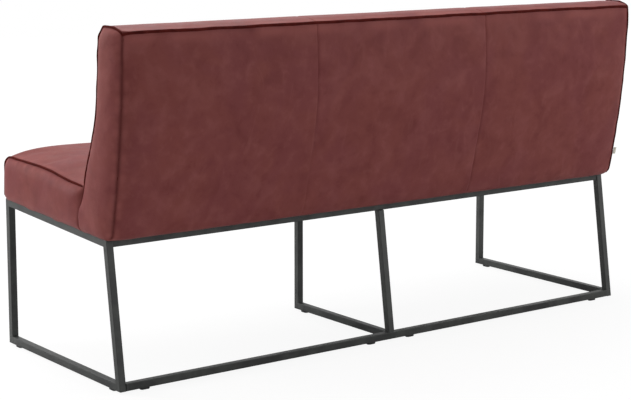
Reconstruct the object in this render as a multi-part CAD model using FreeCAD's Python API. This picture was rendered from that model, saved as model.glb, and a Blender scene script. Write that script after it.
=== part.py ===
import FreeCAD, Part
import math
import os

# Dining bench with a backrest: welded square-tube frame, upholstered seat and back.
# Millimetres, +Z up, floor at Z = 0. The sitter faces -Y, and left is the sitter's left, +X.

# Overall length
bench_length = 1650.0

# Steel frame
tube = 18.0
tube_wall = 1.5
tube_round = 1.6
frame_end_inset = 7.0
frame_front_inset = 6.0
frame_foot_depth = 566.0
frame_rear_inset = 38.0
rail_top_front = 384.0
seat_tilt = 3.0
rear_leg_angle = 8.3
middle_setback = 142.0

# Glides
glide_height = 5.0
glide_length = 26.0
glide_width = 14.0
glide_edge = 1.2
glide_stem = 8.0
glide_stem_length = 9.0
glide_hole_clearance = 0.2
runner_glide_from_front = 42.0
runner_glide_from_rear = 46.0
middle_glide_from_front = 38.0
rail_glide_from_end = 72.0
rail_glide_from_middle = 65.0

# Seat tabs, bolts and tee nuts
tab_width = 30.0
tab_reach = 30.0
tab_thickness = 3.0
tab_from_end = 95.0
bolt_diameter = 6.0
bolt_head_diameter = 12.0
bolt_head_height = 4.0
bolt_hole_clearance = 0.6
tee_nut_flange = 18.0
tee_nut_flange_height = 1.6
tee_nut_barrel = 8.0

# Seat
lining = 1.0
seat_board = 18.0
seat_rear_inset = 155.0
seat_height = 111.0
seat_front_round = 32.0
seat_foot_round = 14.0
seat_top_round = 1500.0
seat_top_rise = 5.0
seat_crown = 13.0
seat_front_crown = 3.0
seat_shoulder = 85.0

# Back
back_depth = 196.0
back_height = 492.0
back_knee_round = 120.0
back_top_round = 34.0
back_corner_round = 9.0
back_foot_round = 26.0
back_front_crown = 8.0
back_top_crown = 5.0
back_rear_crown = 3.0
back_shoulder = 70.0
back_foam = 45.0
back_top_foam = 24.0
back_rear_pad = 12.0
back_front_board = 6.0
back_rear_board = 3.0
back_top_rail = 20.0
rib_thickness = 18.0
rib_count = 4

# Corners of the back's outline, as shares of its depth and height from the foot of its front
knee_shares = (0.355, 0.570)
front_top_shares = (0.430, 1.000)
rear_top_shares = (1.000, 0.984)
rear_knee_shares = (0.946, 0.495)
rear_foot_depth_share = 0.690

# Radius of the bow down the rear, as a share of the back's height
rear_bow_share = 4.065

# Covers, welts and tag
cover = 2.5
welt_radius = 2.5
end_crown = 5.0
end_roll = 24.0
least_round = 1.0
section_count = 3
seam_draw_share = 0.30
shoulder_shares = ((0.0, 0.0), (0.12, 0.42), (0.35, 0.76), (0.65, 0.94), (1.0, 1.0))
end_roll_shares = ((0.0, 0.0), (0.22, 0.55), (0.55, 0.86), (1.0, 1.0))
tag_width = 10.0
tag_height = 20.0
tag_thickness = 0.8
tag_height_share = 0.13

# Angle brackets and screws under the back
bracket_leg = 36.0
bracket_width = 30.0
bracket_thickness = 2.5
screw_diameter = 4.0
screw_length = 14.0
screw_head_diameter = 8.0
screw_head_height = 2.2

# Overrun of cutting tools past the faces that they cut
overrun = 5.0
quarter_turn = 90.0

# Sine of the largest angle between two edges that count as parallel
parallel_share = 0.001

# Places worked out from the sizes
frame_length = bench_length - 2 * frame_end_inset
bench_depth = frame_front_inset + frame_foot_depth + frame_rear_inset
front_y = frame_front_inset - bench_depth / 2
rear_y = front_y + frame_foot_depth
middle_y = front_y + middle_setback
base_z = glide_height
tilt = math.radians(seat_tilt)
lean = math.radians(rear_leg_angle)
end_plane = bench_length / 2 - end_crown - cover
seat_depth = frame_foot_depth - seat_rear_inset
back_rear_round = rear_bow_share * back_height
seam_x = bench_length / (2 * section_count)


def on_seat(v, w):
    """Side-view point at depth v and height w over the tilted plane of the top rails."""
    y = front_y + v * math.cos(tilt) + w * math.sin(tilt)
    z = rail_top_front - v * math.sin(tilt) + w * math.cos(tilt)
    return (y, z)


def seat_v(point):
    """Depth of a side-view point along the tilted plane of the top rails."""
    return (point[0] - front_y) * math.cos(tilt) - (point[1] - rail_top_front) * math.sin(tilt)


def at(x, point):
    return FreeCAD.Vector(x, point[0], point[1])


def meet(p, a, q, b):
    """Crossing of the line through p along a with the line through q along b."""
    cross = a[0] * b[1] - a[1] * b[0]
    share = ((q[0] - p[0]) * b[1] - (q[1] - p[1]) * b[0]) / cross
    return (p[0] + share * a[0], p[1] + share * a[1])


def heading(p, q):
    length = math.hypot(q[0] - p[0], q[1] - p[1])
    return ((q[0] - p[0]) / length, (q[1] - p[1]) / length)


def along(p, q, distance):
    a = heading(p, q)
    return (p[0] + distance * a[0], p[1] + distance * a[1])


def inset(points, distances):
    """Outline with each edge moved inwards by its own distance; points run anticlockwise."""
    count = len(points)
    lines = []
    for i in range(count):
        a = heading(points[i], points[(i + 1) % count])
        moved = (points[i][0] - a[1] * distances[i], points[i][1] + a[0] * distances[i])
        lines.append((moved, a))
    return [meet(*lines[i - 1], *lines[i]) for i in range(count)]


def inset_radii(points, radii, distance):
    """Corner radii that go with an inset: less at outer corners, more at inner ones."""
    result = []
    count = len(points)
    for i in range(count):
        a = heading(points[i - 1], points[i])
        b = heading(points[i], points[(i + 1) % count])
        outer = a[0] * b[1] - a[1] * b[0] > 0
        change = -distance if outer else distance
        result.append(max(radii[i] + change, least_round) if radii[i] else 0)
    return result


def corners(points, radii):
    """Start, middle and end of the arc at each corner, or the bare corner three times."""
    result = []
    count = len(points)
    for i in range(count):
        p, radius = points[i], radii[i]
        if not radius:
            result.append((p, p, p))
            continue
        a = heading(p, points[i - 1])
        b = heading(p, points[(i + 1) % count])
        half = math.acos(a[0] * b[0] + a[1] * b[1]) / 2
        run = radius / math.tan(half)
        middle = heading((0, 0), (a[0] + b[0], a[1] + b[1]))
        reach = radius / math.sin(half) - radius
        result.append((
            (p[0] + run * a[0], p[1] + run * a[1]),
            (p[0] + reach * middle[0], p[1] + reach * middle[1]),
            (p[0] + run * b[0], p[1] + run * b[1]),
        ))
    return result


def trace(x, bends):
    """Edges of a path through the given corners at one place along the bench."""
    edges = []
    for i, (start, middle, end) in enumerate(bends):
        if i:
            edges.append(Part.LineSegment(at(x, bends[i - 1][2]), at(x, start)).toShape())
        if start != end:
            edges.append(Part.Arc(at(x, start), at(x, middle), at(x, end)).toShape())
    return edges


def closed(x, points, radii):
    bends = corners(points, radii)
    edges = trace(x, bends)
    edges.append(Part.LineSegment(at(x, bends[-1][2]), at(x, bends[0][0])).toShape())
    return Part.Wire(edges)


def strip(x, outer, inner):
    """Closed outline of a layer between an outer and an inner path of corners."""
    back_way = [(end, middle, start) for start, middle, end in reversed(inner)]
    edges = trace(x, outer)
    edges.append(Part.LineSegment(at(x, outer[-1][2]), at(x, back_way[0][0])).toShape())
    edges += trace(x, back_way)
    edges.append(Part.LineSegment(at(x, back_way[-1][2]), at(x, outer[0][0])).toShape())
    return Part.Wire(edges)


def loft(wires):
    return Part.makeLoft(wires, True, True)


def prism(x, width, wire_points):
    points = [at(x, p) for p in wire_points]
    face = Part.Face(Part.makePolygon(points + points[:1]))
    return face.extrude(FreeCAD.Vector(width, 0, 0))


def seat_box(x, v, w, length, depth, height):
    """Box square to the tilted seat plane, from its corner of least x, v and w."""
    box = Part.makeBox(length, depth, height)
    box.rotate(FreeCAD.Vector(0, 0, 0), FreeCAD.Vector(1, 0, 0), -seat_tilt)
    box.translate(at(x, on_seat(v, w)))
    return box


def seat_pin(x, v, w, diameter, height):
    """Round pin square to the tilted seat plane, standing on the height w."""
    pin = Part.makeCylinder(diameter / 2, height)
    pin.rotate(FreeCAD.Vector(0, 0, 0), FreeCAD.Vector(1, 0, 0), -seat_tilt)
    pin.translate(at(x, on_seat(v, w)))
    return pin


def save(name, shape):
    shape.exportStep(f"parts/{name}.step")


def group(shapes):
    return Part.makeCompound(shapes)


os.makedirs("parts", exist_ok=True)

# Frame tubes. A tube's side view is a four-cornered outline whose first two points are one long edge.


def hollow_tube(x, width, outline):
    """Tube across a side-view outline, hollow between its long edges and rounded along them."""
    solid = prism(x, width, outline)
    run = heading(outline[0], outline[1])
    axis = FreeCAD.Vector(0, run[0], run[1])
    straight = []
    for edge in solid.Edges:
        ends = [v.Point for v in edge.Vertexes]
        if (ends[1] - ends[0]).normalize().cross(axis).Length < parallel_share:
            straight.append(edge)
    solid = solid.makeFillet(tube_round, straight)
    walls = [tube_wall, 0, tube_wall, 0]
    bore = prism(x + tube_wall, width - 2 * tube_wall, inset(outline, walls))
    return solid.cut(bore)


slant = (-math.sin(lean), math.cos(lean))
rail_run = heading(on_seat(0, 0), on_seat(tube, 0))
outer_loop = [
    (front_y, base_z),
    (rear_y, base_z),
    meet((rear_y, base_z), slant, on_seat(0, 0), rail_run),
    (front_y, rail_top_front),
]
inner_loop = inset(outer_loop, [tube] * len(outer_loop))
loop_names = ("runner", "rear_leg", "top_rail", "front_leg")
rail_length = math.dist(outer_loop[3], outer_loop[2])
rail_start = tube * math.tan(tilt)


def loop_tube(x, i):
    j = (i + 1) % len(outer_loop)
    outline = [outer_loop[i], outer_loop[j], inner_loop[j], inner_loop[i]]
    return hollow_tube(x, tube, outline)


def glide(x, y):
    """Pad under a tube with rounded ends, eased lower edge and a stem up into the tube."""
    radius = glide_width / 2
    straight = glide_length / 2 - radius
    pad = Part.makeBox(2 * straight, glide_width, glide_height)
    pad.translate(FreeCAD.Vector(-straight, -radius, 0))
    for side in (-straight, straight):
        pad = pad.fuse(Part.makeCylinder(radius, glide_height, FreeCAD.Vector(side, 0, 0)))
    pad = pad.removeSplitter()
    rim = [e for e in pad.Edges if e.BoundBox.ZMax < glide_height / 2]
    pad = pad.makeChamfer(glide_edge, rim)
    stem = Part.makeCylinder(glide_stem / 2, glide_stem_length, FreeCAD.Vector(0, 0, glide_height))
    return pad.fuse(stem).removeSplitter(), FreeCAD.Vector(x, y, 0)


def stem_hole(x, y):
    radius = (glide_stem + glide_hole_clearance) / 2
    return Part.makeCylinder(radius, tube_wall + 2 * overrun, FreeCAD.Vector(x, y, base_z - overrun))


end_x = (frame_length - tube) / 2
rail_glide_y = rear_y - tube / 2
runner_glide_ys = {"front": front_y + runner_glide_from_front, "rear": rear_y - runner_glide_from_rear}
rail_glide_xs = {
    "left": frame_length / 2 - rail_glide_from_end,
    "left_inner": rail_glide_from_middle,
    "right_inner": -rail_glide_from_middle,
    "right": rail_glide_from_end - frame_length / 2,
}

for side, x in (("left", end_x), ("right", -end_x)):
    for i, part_name in enumerate(loop_names):
        piece = loop_tube(x - tube / 2, i)
        if part_name == "runner":
            for y in runner_glide_ys.values():
                piece = piece.cut(stem_hole(x, y))
        save(f"{side}_{part_name}", piece)
    for place, y in runner_glide_ys.items():
        piece, spot = glide(x, y)
        piece.rotate(FreeCAD.Vector(0, 0, 0), FreeCAD.Vector(0, 0, 1), quarter_turn)
        piece.translate(spot)
        save(f"{side}_glide_{place}", piece)

# Middle frame: its runner meets the rear floor rail, and its legs meet the cross rail.
def under_rail(point, direction):
    return meet(point, direction, on_seat(0, -tube), rail_run)


upright = (0, 1)
floor_rail_y = rear_y - tube
leg_rear = meet((rear_y, base_z), slant, (0, base_z + tube), (1, 0))
leg_front = (leg_rear[0] - tube / math.cos(lean), leg_rear[1])
middle_outlines = {
    "middle_runner": [
        (middle_y, base_z),
        (floor_rail_y, base_z),
        (floor_rail_y, base_z + tube),
        (middle_y + tube, base_z + tube),
    ],
    "middle_front_leg": [
        under_rail((middle_y, base_z), upright),
        (middle_y, base_z),
        (middle_y + tube, base_z + tube),
        under_rail((middle_y + tube, base_z), upright),
    ],
    "middle_rear_leg": [leg_rear, under_rail(leg_rear, slant), under_rail(leg_front, slant), leg_front],
    "middle_cross_rail": [
        on_seat(rail_start + tube, -tube),
        on_seat(rail_length - tube, -tube),
        on_seat(rail_length - tube, 0),
        on_seat(rail_start + tube, 0),
    ],
}
middle_glide_y = middle_y + middle_glide_from_front
for name, outline in middle_outlines.items():
    piece = hollow_tube(-tube / 2, tube, outline)
    if name == "middle_runner":
        piece = piece.cut(stem_hole(0, middle_glide_y))
    save(name, piece)
piece, spot = glide(0, middle_glide_y)
piece.rotate(FreeCAD.Vector(0, 0, 0), FreeCAD.Vector(0, 0, 1), quarter_turn)
piece.translate(spot)
save("middle_glide_front", piece)

# Long rails between the two end frames
rail_span = frame_length - 2 * tube


def long_rail(tilted, v):
    """Square tube along the bench; a tilted one hangs from the seat plane at depth v."""
    solid = Part.makeBox(rail_span, tube, tube)
    solid = solid.makeFillet(tube_round, [e for e in solid.Edges if e.Length > 2 * tube])
    bore = Part.makeBox(rail_span, tube - 2 * tube_wall, tube - 2 * tube_wall)
    bore.translate(FreeCAD.Vector(0, tube_wall, tube_wall))
    solid = solid.cut(bore)
    if tilted:
        solid.rotate(FreeCAD.Vector(0, 0, 0), FreeCAD.Vector(1, 0, 0), -seat_tilt)
        solid.translate(at(-rail_span / 2, on_seat(v, -tube)))
    else:
        solid.translate(FreeCAD.Vector(-rail_span / 2, floor_rail_y, base_z))
    return solid


floor_rail = long_rail(False, 0)
for name, x in rail_glide_xs.items():
    floor_rail = floor_rail.cut(stem_hole(x, rail_glide_y))
    piece, spot = glide(x, rail_glide_y)
    piece.translate(spot)
    save(f"rail_glide_{name}", piece)
save("rear_floor_rail", floor_rail)
save("front_top_rail", long_rail(True, rail_start))
save("rear_top_rail", long_rail(True, rail_length - tube))

# Tabs on the end rails and on both sides of the cross rail, with a bolt and a tee nut at each
tab_vs = (tab_from_end, rail_length - tab_from_end)
tab_faces = (
    (frame_length / 2 - tube, -1),
    (tube / 2, 1),
    (-tube / 2, -1),
    (tube - frame_length / 2, 1),
)
bolt_hole = bolt_diameter + bolt_hole_clearance
bolt_places = []
tabs = []
for face, way in tab_faces:
    for v in tab_vs:
        x = face + way * tab_reach / 2
        corner = (x - tab_reach / 2, v - tab_width / 2, -tab_thickness)
        tab = seat_box(*corner, tab_reach, tab_width, tab_thickness)
        hole = seat_pin(x, v, -tab_thickness - overrun, bolt_hole, tab_thickness + 2 * overrun)
        tabs.append(tab.cut(hole))
        bolt_places.append((x, v))
save("seat_tabs", group(tabs))

board_under = lining
board_top = lining + seat_board
bolts = []
nuts = []
for x, v in bolt_places:
    head = seat_pin(x, v, -tab_thickness - bolt_head_height, bolt_head_diameter, bolt_head_height)
    shank = seat_pin(x, v, -tab_thickness, bolt_diameter, tab_thickness + board_top)
    bolts.append(head.fuse(shank).removeSplitter())
    flange = seat_pin(x, v, board_top - tee_nut_flange_height, tee_nut_flange, tee_nut_flange_height)
    barrel = seat_pin(x, v, board_under, tee_nut_barrel, seat_board)
    bore = seat_pin(x, v, board_under - overrun, bolt_diameter, seat_board + 2 * overrun)
    nuts.append(flange.fuse(barrel).removeSplitter().cut(bore))
save("seat_bolts", group(bolts))
save("seat_tee_nuts", group(nuts))

# Outline of the seat: foot, rear foot, rear top, crowned top, front top
seat_front = seat_front_crown - frame_front_inset
seat_rear = seat_front + seat_depth
seat_points = [
    on_seat(seat_front, 0),
    on_seat(seat_rear, 0),
    on_seat(seat_rear, seat_height),
    on_seat((seat_front + seat_rear) / 2, seat_height + seat_top_rise),
    on_seat(seat_front, seat_height),
]
seat_radii = [seat_foot_round, 0, 0, seat_top_round, seat_front_round]
seat_crowns = [0, 0, seat_crown, seat_crown, seat_front_crown]

# Outline of the back: foot, rear foot, rear knee, rear top, front top, front knee, seat line
foot = on_seat(seat_rear, 0)


def back_point(shares):
    return (foot[0] + shares[0] * back_depth, foot[1] + shares[1] * back_height)


rear_line = back_point((rear_foot_depth_share, 0))
rear_foot = meet(rear_line, heading(rear_line, back_point(rear_knee_shares)), foot, rail_run)
back_points = [
    foot,
    rear_foot,
    back_point(rear_knee_shares),
    back_point(rear_top_shares),
    back_point(front_top_shares),
    back_point(knee_shares),
    on_seat(seat_rear, seat_height),
]
back_radii = [0, back_foot_round, back_rear_round, 0, back_top_round, back_knee_round, 0]
back_crowns = [0, back_rear_crown, back_rear_crown, back_top_crown, back_front_crown, back_front_crown, 0]


def fullness(x, shoulder):
    """Share of the crown at one place: none at the ends, drawn in at the seams."""
    reach = (end_plane - abs(x)) / shoulder
    for (a, low), (b, high) in zip(shoulder_shares, shoulder_shares[1:]):
        if a <= reach <= b:
            return low + (high - low) * (reach - a) / (b - a)
    span = 2 * seam_x
    from_seam = abs(abs(x) - seam_x) / span
    return 1 - seam_draw_share * max(0, 1 - from_seam / seam_draw_share)


def stations(first, last, shoulder):
    """Places along one section of the cover, close together near its seams and ends."""
    places = {first, last, (first + last) / 2}
    for share, _ in shoulder_shares:
        for end in (-end_plane, end_plane):
            place = end - math.copysign(share * shoulder, end)
            if first <= place <= last:
                places.add(place)
    for seam in (-seam_x, seam_x):
        for offset in (-2 * seam_x * seam_draw_share, 2 * seam_x * seam_draw_share):
            if first <= seam + offset <= last:
                places.add(seam + offset)
    return sorted(places)


def layer(points, radii, crowns, moves, x, shoulder, depth):
    """Rounded corners of an outline at one place: its crown added and its edges moved inwards."""
    full = fullness(x, shoulder)
    moves = [move - full * crown for move, crown in zip(moves, crowns)]
    return corners(inset(points, moves), inset_radii(points, radii, depth))


section_edges = [
    ("right", -end_plane, -seam_x),
    ("middle", -seam_x, seam_x),
    ("left", seam_x, end_plane),
]
whole_length = sorted(set(sum((stations(a, b, seat_shoulder) for _, a, b in section_edges), [])))
whole_back = sorted(set(sum((stations(a, b, back_shoulder) for _, a, b in section_edges), [])))

# Seat board and lining
board_rear = seat_rear + math.dist(foot, corners(back_points, back_radii)[1][0])
board_front = seat_front + seat_foot_round
board = seat_box(-end_plane, board_front, board_under, 2 * end_plane, board_rear - board_front, seat_board)
sheet = seat_box(-end_plane, board_front, 0, 2 * end_plane, board_rear - board_front, lining)
for x, v in bolt_places:
    reach = board_top + 2 * overrun
    sheet = sheet.cut(seat_pin(x, v, -overrun, bolt_hole, reach))
    board = board.cut(seat_pin(x, v, -overrun, tee_nut_barrel, reach))
    board = board.cut(seat_pin(x, v, board_top - tee_nut_flange_height, tee_nut_flange, overrun))

# Ribs and boards of the back: the carcass stands on the seat board, inside the foam and the padding
rear_inset = cover + back_rear_pad
front_inset = cover + back_foam
foam_insets = [rear_inset] * 2 + [cover + back_top_foam] + [front_inset] * 3
carcass = inset(back_points, [board_top] + foam_insets)
pad_inner = inset(back_points, [rear_inset] + foam_insets)
carcass_radii = inset_radii(back_points, [0, 0, back_rear_round, 0, 0, 0, 0], rear_inset)
rib_insets = [0, back_rear_board, back_rear_board, back_top_rail] + [back_front_board] * 3
rib_outline = inset(carcass, rib_insets)
rib_radii = inset_radii(carcass, carcass_radii, back_rear_board)
carcass_bends = corners(carcass, carcass_radii)
rib_bends = corners(rib_outline, rib_radii)
rib_pitch = (2 * end_plane - rib_thickness) / (rib_count - 1)
rib_xs = [rib_thickness / 2 - end_plane + rib_pitch * i for i in range(rib_count)]
rib_names = ("right_end_rib", "right_inner_rib", "left_inner_rib", "left_end_rib")

# Angle bracket beside each rib, on the side that faces the middle of the bench
bracket_v = (seat_v(rib_outline[0]) + seat_v(rib_outline[1])) / 2
brackets = []
screws = []
for x in rib_xs:
    way = -1 if x > 0 else 1
    side = x + way * rib_thickness / 2
    low = side if way > 0 else side - bracket_leg
    upright_low = side if way > 0 else side - bracket_thickness
    v = bracket_v - bracket_width / 2
    flat = seat_box(low, v, board_top, bracket_leg, bracket_width, bracket_thickness)
    wall = seat_box(upright_low, v, board_top, bracket_thickness, bracket_width, bracket_leg)
    bracket = flat.fuse(wall).removeSplitter()
    far = side + way * (bracket_leg + bracket_thickness) / 2
    down_top = board_top + bracket_thickness
    down = seat_pin(far, bracket_v, down_top - screw_length, screw_diameter, screw_length)
    down_head = seat_pin(far, bracket_v, down_top, screw_head_diameter, screw_head_height)
    cross_w = board_top + (bracket_leg + bracket_thickness) / 2
    spot = at(side + way * bracket_thickness, on_seat(bracket_v, cross_w))
    into_rib = FreeCAD.Vector(-way, 0, 0)
    cross = Part.makeCylinder(screw_diameter / 2, screw_length, spot, into_rib)
    cross_head = Part.makeCylinder(screw_head_diameter / 2, screw_head_height, spot, -into_rib)
    for shank in (down, cross):
        bracket = bracket.cut(shank)
    brackets.append(bracket)
    screws.append(down.fuse(down_head).removeSplitter())
    screws.append(cross.fuse(cross_head).removeSplitter())
save("back_brackets", group(brackets))
save("bracket_screws", group(screws))
for screw in screws:
    board = board.cut(screw)
save("seat_board", board)
save("seat_lining", sheet)

for name, x in zip(rib_names, rib_xs):
    rib = Part.Face(closed(x - rib_thickness / 2, rib_outline, rib_radii))
    rib = rib.extrude(FreeCAD.Vector(rib_thickness, 0, 0))
    for screw in screws:
        rib = rib.cut(screw)
    save(name, rib)


def board_piece(outer, inner):
    wire = strip(-end_plane, outer, inner)
    return Part.Face(wire).extrude(FreeCAD.Vector(2 * end_plane, 0, 0))


save("back_rear_board", board_piece(carcass_bends[1:4], rib_bends[1:4]))
save("back_top_rail", board_piece(carcass_bends[3:5], rib_bends[3:5]))
save("back_front_board", board_piece(carcass_bends[4:7], rib_bends[4:7]))


# Foam and padding: the crowned outline under the cover, down to the boards
def back_layer(x, depth, foot_inset):
    moves = [foot_inset] + [depth] * (len(back_points) - 1)
    return layer(back_points, back_radii, back_crowns, moves, x, back_shoulder, depth)


def back_front_foam(x):
    outer = back_layer(x, cover, board_top)
    inner = carcass_bends
    return strip(x, outer[3:] + outer[:1], inner[3:] + inner[:1])


def back_padding(x):
    outer = back_layer(x, cover, cover)
    inner = corners(pad_inner, carcass_radii)
    return strip(x, outer[1:4], inner[1:4])


def seat_layer(x, depth):
    moves = [depth, 0, depth, depth, depth]
    return layer(seat_points, seat_radii, seat_crowns, moves, x, seat_shoulder, depth)


def seat_filling(x):
    bends = seat_layer(x, cover)
    edges = trace(x, bends)
    edges.append(Part.LineSegment(at(x, bends[-1][2]), at(x, bends[0][0])).toShape())
    return Part.Wire(edges)


save("back_foam", loft([back_front_foam(x) for x in whole_back]))
save("back_rear_pad", loft([back_padding(x) for x in whole_back]))
seat_foam = loft([seat_filling(x) for x in whole_length])
seat_room = seat_box(-bench_length, board_front, -overrun, 2 * bench_length, bench_depth, board_top + overrun)
save("seat_foam", seat_foam.cut(seat_room))


# Cover sections, each a layer between its outer outline and the foam
def shortened(bends, first, second):
    """Path that stops one welt radius short of its first corner."""
    start = along(bends[first][1], bends[second][0], welt_radius)
    return (start, start, start)


def back_front_cover(x):
    outer = back_layer(x, 0, board_top)
    inner = back_layer(x, cover, board_top)
    return strip(x, [shortened(outer, 3, 4)] + outer[4:] + outer[:1], inner[3:] + inner[:1])


def back_rear_cover(x):
    outer = back_layer(x, 0, 0)
    inner = back_layer(x, cover, cover)
    end = along(outer[3][1], outer[2][2], welt_radius)
    return strip(x, outer[1:3] + [(end, end, end)], inner[1:4])


def seat_cover(x):
    outer = seat_layer(x, 0)
    inner = seat_layer(x, cover)
    return strip(x, outer[2:] + outer[:1], inner[2:] + inner[:1])


for name, first, last in section_edges:
    back_places = stations(first, last, back_shoulder)
    seat_places = stations(first, last, seat_shoulder)
    save(f"back_front_cover_{name}", loft([back_front_cover(x) for x in back_places]))
    save(f"back_rear_cover_{name}", loft([back_rear_cover(x) for x in back_places]))
    save(f"seat_cover_{name}", loft([seat_cover(x) for x in seat_places]))

# End panels: flat on the foam's end, rolled at the edge and crowned outwards
back_end_radii = list(back_radii)
back_end_radii[3] = back_corner_round


def end_panel(points, radii, edges, way):
    wires = [closed(way * end_plane, *panel_outline(points, radii, edges, 0))]
    for share, rise in end_roll_shares:
        x = way * (end_plane + cover + rise * end_crown)
        wires.append(closed(x, *panel_outline(points, radii, edges, share * end_roll)))
    return loft(wires)


def panel_outline(points, radii, edges, depth):
    moves = [(cover + depth) * edge for edge in edges]
    return inset(points, moves), inset_radii(points, radii, cover + depth)


# Welts: round cords in the corner between an end panel and the covers beside it
def welt(way, bends):
    x = way * (end_plane + cover)
    path = Part.Wire(trace(x, bends))
    first = path.OrderedEdges[0]
    start = first.valueAt(first.FirstParameter)
    circle = Part.Wire(Part.makeCircle(welt_radius, start, first.tangentAt(first.FirstParameter)))
    return path.makePipeShell([circle], True, False)


seat_end_edges = [0, 0, 1, 1, 1]
back_end_edges = [0, 1, 1, 1, 1, 1, 0]
for side, way in (("left", 1), ("right", -1)):
    seat_bends = corners(seat_points, seat_radii)
    rear_end = along(seat_bends[2][1], seat_bends[3][0], 2 * welt_radius)
    seat_welt = welt(way, [(rear_end, rear_end, rear_end)] + seat_bends[3:] + seat_bends[:1])
    back_welt = welt(way, corners(back_points, back_end_radii)[1:])
    save(f"{side}_seat_welt", seat_welt)
    save(f"{side}_back_welt", back_welt)
    seat_end = end_panel(seat_points, seat_radii, seat_end_edges, way)
    back_end = end_panel(back_points, back_end_radii, back_end_edges, way)
    save(f"{side}_seat_end_panel", seat_end.cut(seat_welt))
    save(f"{side}_back_end_panel", back_end.cut(back_welt))

rings = []
for x in whole_back:
    centre = at(x, back_layer(x, 0, 0)[3][1])
    rings.append(Part.Wire(Part.makeCircle(welt_radius, centre, FreeCAD.Vector(1, 0, 0))))
save("back_top_welt", loft(rings))

# Blank tag in the rear seam of the right end
tag_line = (back_points[1], back_points[2])
tag_low = along(*tag_line, tag_height_share * back_height)
tag_high = along(tag_low, tag_line[1], tag_height)
run = heading(*tag_line)
thick = (-run[1] * tag_thickness / 2, run[0] * tag_thickness / 2)
tag_outline = [
    (tag_low[0] - thick[0], tag_low[1] - thick[1]),
    (tag_high[0] - thick[0], tag_high[1] - thick[1]),
    (tag_high[0] + thick[0], tag_high[1] + thick[1]),
    (tag_low[0] + thick[0], tag_low[1] + thick[1]),
]
save("side_tag", prism(-end_plane - cover - welt_radius - tag_width, tag_width, tag_outline))
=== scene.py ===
import math
import bmesh
import bpy
import numpy as np
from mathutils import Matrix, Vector, noise
from mathutils.bvhtree import BVHTree


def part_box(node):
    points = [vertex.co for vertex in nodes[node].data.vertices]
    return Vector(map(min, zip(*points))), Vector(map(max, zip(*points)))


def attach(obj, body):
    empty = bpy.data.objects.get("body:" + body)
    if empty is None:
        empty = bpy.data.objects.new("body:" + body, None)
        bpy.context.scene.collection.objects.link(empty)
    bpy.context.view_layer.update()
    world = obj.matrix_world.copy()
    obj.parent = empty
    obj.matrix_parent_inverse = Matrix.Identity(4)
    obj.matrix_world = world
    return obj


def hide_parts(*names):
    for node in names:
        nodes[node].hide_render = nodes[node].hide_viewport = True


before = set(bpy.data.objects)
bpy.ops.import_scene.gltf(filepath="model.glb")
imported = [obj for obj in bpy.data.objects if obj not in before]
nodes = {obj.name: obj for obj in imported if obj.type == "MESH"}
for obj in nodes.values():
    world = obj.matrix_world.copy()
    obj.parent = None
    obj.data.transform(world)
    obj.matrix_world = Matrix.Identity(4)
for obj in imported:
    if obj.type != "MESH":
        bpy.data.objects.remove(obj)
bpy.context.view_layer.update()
scene = bpy.context.scene
scene.view_settings.view_transform = "Standard"
print("frame loaded,", len(nodes), "nodes")

# camera

shot = {
    "lens": 96.564,
    "place": (2.7313, 3.5949, 1.1427),
    "down": 8.458,  # degrees
    "turn": 143.299,
    "rise": -0.079,  # upright edges in the photograph stay nearly parallel
    "farEnd": 80,
}
cameraData = bpy.data.cameras.new("benchCamera")
cameraData.lens = shot["lens"]
cameraData.shift_y = shot["rise"]
cameraData.clip_end = shot["farEnd"]
camera = bpy.data.objects.new("benchCamera", cameraData)
camera.location = shot["place"]
camera.rotation_euler = (math.radians(90 - shot["down"]), 0, math.radians(shot["turn"]))
scene.collection.objects.link(camera)
scene.camera = camera

# shader helpers: a wire is one socket, and maths on it adds Math nodes


class Wire:
    def __init__(self, finish, socket):
        self.finish = finish
        self.socket = socket

    def calc(self, operation, first, second):
        return self.finish.add("ShaderNodeMath", {"operation": operation}, {0: first, 1: second})

    def __add__(self, other):
        return self.calc("ADD", self, other)

    def __radd__(self, other):
        return self.calc("ADD", other, self)

    def __mul__(self, other):
        return self.calc("MULTIPLY", self, other)

    def __rmul__(self, other):
        return self.calc("MULTIPLY", other, self)

    def larger(self, other):
        return self.calc("MAXIMUM", self, other)


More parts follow.
